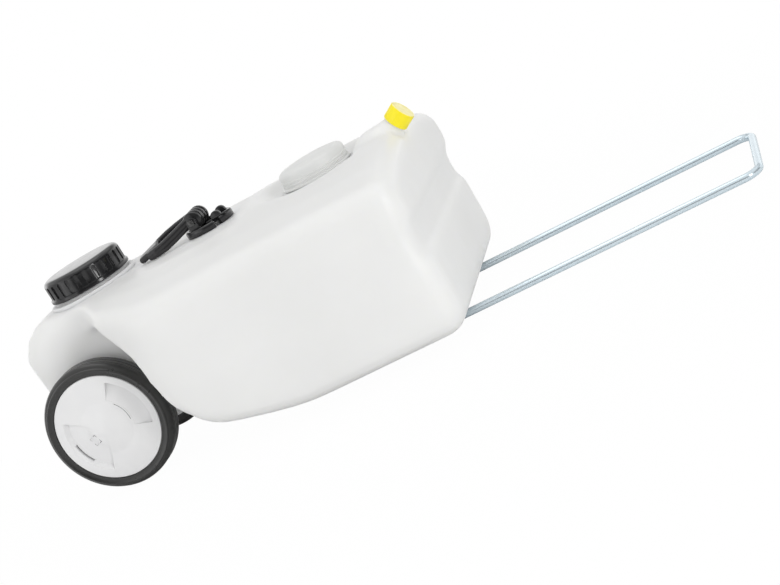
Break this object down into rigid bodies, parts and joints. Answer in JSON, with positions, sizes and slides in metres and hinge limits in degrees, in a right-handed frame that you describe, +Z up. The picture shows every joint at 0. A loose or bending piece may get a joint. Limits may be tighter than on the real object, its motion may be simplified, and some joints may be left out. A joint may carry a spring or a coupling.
{
  "type": "portable waste water tank",
  "caption": "Low moulded waste water tank on two wheels, with screw caps, a hinged carry loop and a pull-out wire handle for rolling it to an emptying point.",
  "frame": {"origin": "on the ground, at the middle of the object's length and width", "axes": "+X runs from the nose and the wheels to the pull handle, +Y to the left, +Z up"},
  "size_m": [0.9487, 0.366, 0.2755],
  "materials": {
    "tank": "natural translucent polyethylene, satin",
    "black_cap": "black moulded plastic, glossy",
    "clear_cap": "translucent moulded plastic, satin",
    "yellow_cap": "yellow moulded plastic",
    "loop": "black moulded plastic, satin",
    "tyre": "dark grey solid tyre, matte",
    "wheel": "white moulded plastic, satin",
    "bush": "grey plastic",
    "guide": "grey plastic",
    "seal": "black rubber",
    "zinc": "bright zinc plating"
  },
  "bodies": {
    "tank": {"tank_shell": "tank", "axle": "zinc", "axle_washer_left": "zinc", "axle_washer_right": "zinc", "axle_cap_left": "zinc", "axle_cap_right": "zinc", "loop_base": "loop", "loop_pin": "zinc", "handle_guide_front_left": "guide", "handle_guide_front_right": "guide", "handle_guide_rear_left": "guide", "handle_guide_rear_right": "guide"},
    "wheel_left": {"tyre_left": "tyre", "wheel_rim_left": "wheel", "wheel_bush_left": "bush", "wheel_cover_left": "wheel"},
    "wheel_right": {"tyre_right": "tyre", "wheel_rim_right": "wheel", "wheel_bush_right": "bush", "wheel_cover_right": "wheel"},
    "handle": {"pull_handle": "zinc"},
    "loop": {"carry_loop": "loop"},
    "filler_ring": {"filler_seal": "seal"},
    "filler_lid": {"filler_cap": "black_cap"},
    "cleaning_ring": {"cleaning_seal": "seal"},
    "cleaning_lid": {"cleaning_cap": "clear_cap"},
    "vent_ring": {"vent_seal": "seal"},
    "vent_lid": {"vent_cap": "yellow_cap"}
  },
  "joints": [
    {"name": "wheel_left_spin", "type": "hinge", "parent": "tank", "child": "wheel_left", "pos_m": [-0.3884, 0, 0.086], "axis": [0, 1, 0], "continuous": true},
    {"name": "wheel_right_spin", "type": "hinge", "parent": "tank", "child": "wheel_right", "pos_m": [-0.3884, 0, 0.086], "axis": [0, 1, 0], "continuous": true},
    {"name": "handle_slide", "type": "slide", "parent": "tank", "child": "handle", "axis": [1, 0, 0], "range_m": [-0.315, 0]},
    {"name": "loop_swing", "type": "hinge", "parent": "tank", "child": "loop", "pos_m": [-0.1784, 0, 0.253], "axis": [0, 1, 0], "range_deg": [0, 105]},
    {"name": "filler_turn", "type": "hinge", "parent": "tank", "child": "filler_ring", "pos_m": [-0.3504, 0, 0.245], "axis": [0, 0, 1], "range_deg": [0, 900]},
    {"name": "filler_lift", "type": "slide", "parent": "filler_ring", "child": "filler_lid", "axis": [0, 0, 1], "range_m": [0, 0.0155]},
    {"name": "cleaning_turn", "type": "hinge", "parent": "tank", "child": "cleaning_ring", "pos_m": [-0.009, 0, 0.231], "axis": [0, 0, 1], "range_deg": [0, 900]},
    {"name": "cleaning_lift", "type": "slide", "parent": "cleaning_ring", "child": "cleaning_lid", "axis": [0, 0, 1], "range_m": [0, 0.0105]},
    {"name": "vent_turn", "type": "hinge", "parent": "tank", "child": "vent_ring", "pos_m": [0.1086, 0, 0.2405], "axis": [0.866, 0, 0.5], "range_deg": [0, 1080]},
    {"name": "vent_lift", "type": "slide", "parent": "vent_ring", "child": "vent_lid", "axis": [0.866, 0, 0.5], "range_m": [0, 0.0095]}
  ],
  "couplings": [
    {"joint": "filler_lift", "follows": "filler_turn", "m_per_rad": 0.00095493},
    {"joint": "cleaning_lift", "follows": "cleaning_turn", "m_per_rad": 0.00063662},
    {"joint": "vent_lift", "follows": "vent_turn", "m_per_rad": 0.00047746}
  ]
}
